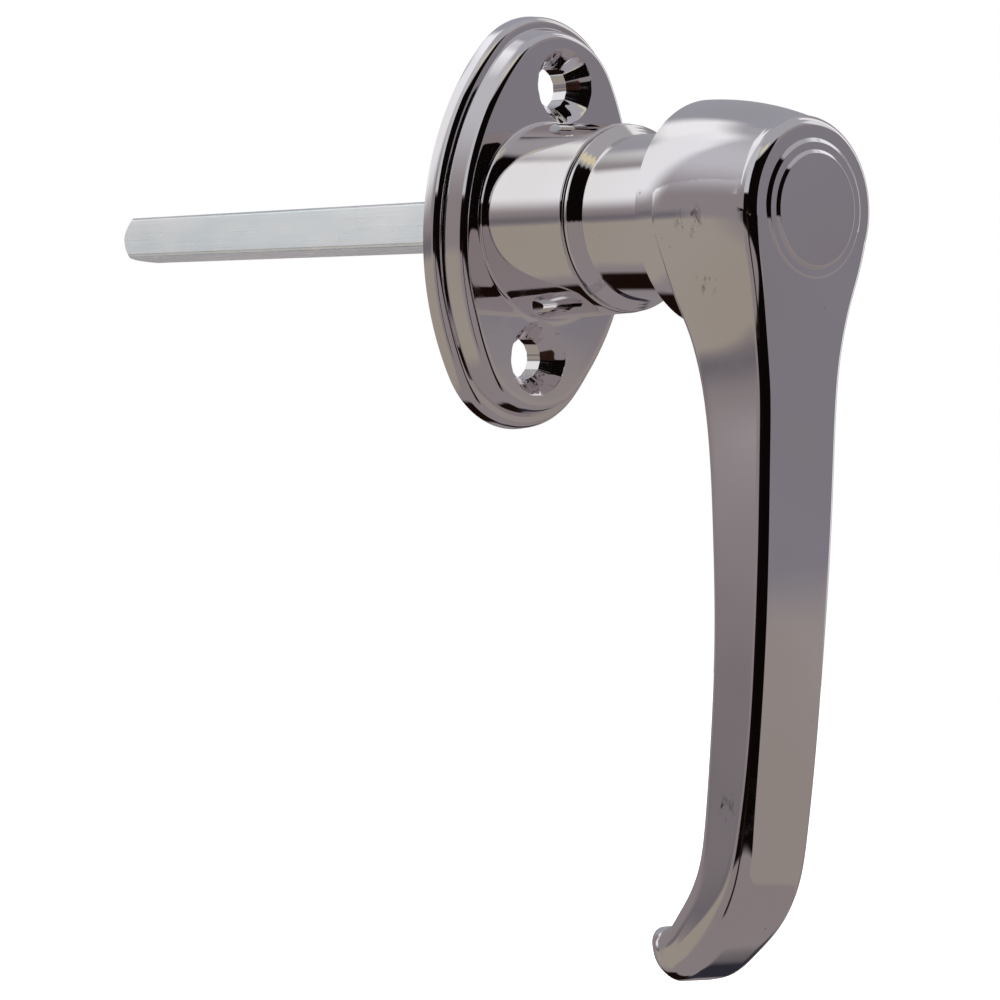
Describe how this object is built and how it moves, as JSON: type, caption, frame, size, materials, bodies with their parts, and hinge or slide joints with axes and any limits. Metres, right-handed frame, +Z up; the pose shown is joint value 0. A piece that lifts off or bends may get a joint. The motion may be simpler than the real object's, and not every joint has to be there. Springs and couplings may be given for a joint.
{
  "type": "lever handle",
  "caption": "Chrome L-shaped lever handle on an oval two-step plate, non-locking, with a long square spindle for a shutter, cabinet or garage door.",
  "frame": {"origin": "spindle axis at the back (mounting) face of the oval plate", "axes": "-Y towards the room, +Y along the spindle into the door, +Z up with the lever hanging down, +X to the right seen from the room"},
  "size_m": [0.0458, 0.1834, 0.1552],
  "materials": {
    "escutcheon": "polished chrome plate on a zinc casting",
    "bearing_bush": "moulded black acetal",
    "handle": "polished chrome plate on a zinc casting",
    "front_cap": "polished chrome plate",
    "spindle": "bright zinc plated drawn bar",
    "spindle_screw": "zinc plated steel",
    "screw_washer": "zinc plated steel",
    "stop_washer": "pressed steel, zinc plated",
    "spring_washer": "spring steel",
    "circlip": "phosphated spring steel"
  },
  "bodies": {
    "plate": {"escutcheon": "escutcheon", "bearing_bush": "bearing_bush"},
    "lever": {"handle": "handle", "front_cap": "front_cap", "spindle": "spindle", "spindle_screw": "spindle_screw", "screw_washer": "screw_washer", "stop_washer": "stop_washer", "spring_washer": "spring_washer", "circlip": "circlip"}
  },
  "joints": [
    {"name": "handle_turn", "type": "hinge", "parent": "plate", "child": "lever", "pos_m": [0, 0, 0], "axis": [0, 1, 0], "range_deg": [-90, 90]}
  ]
}
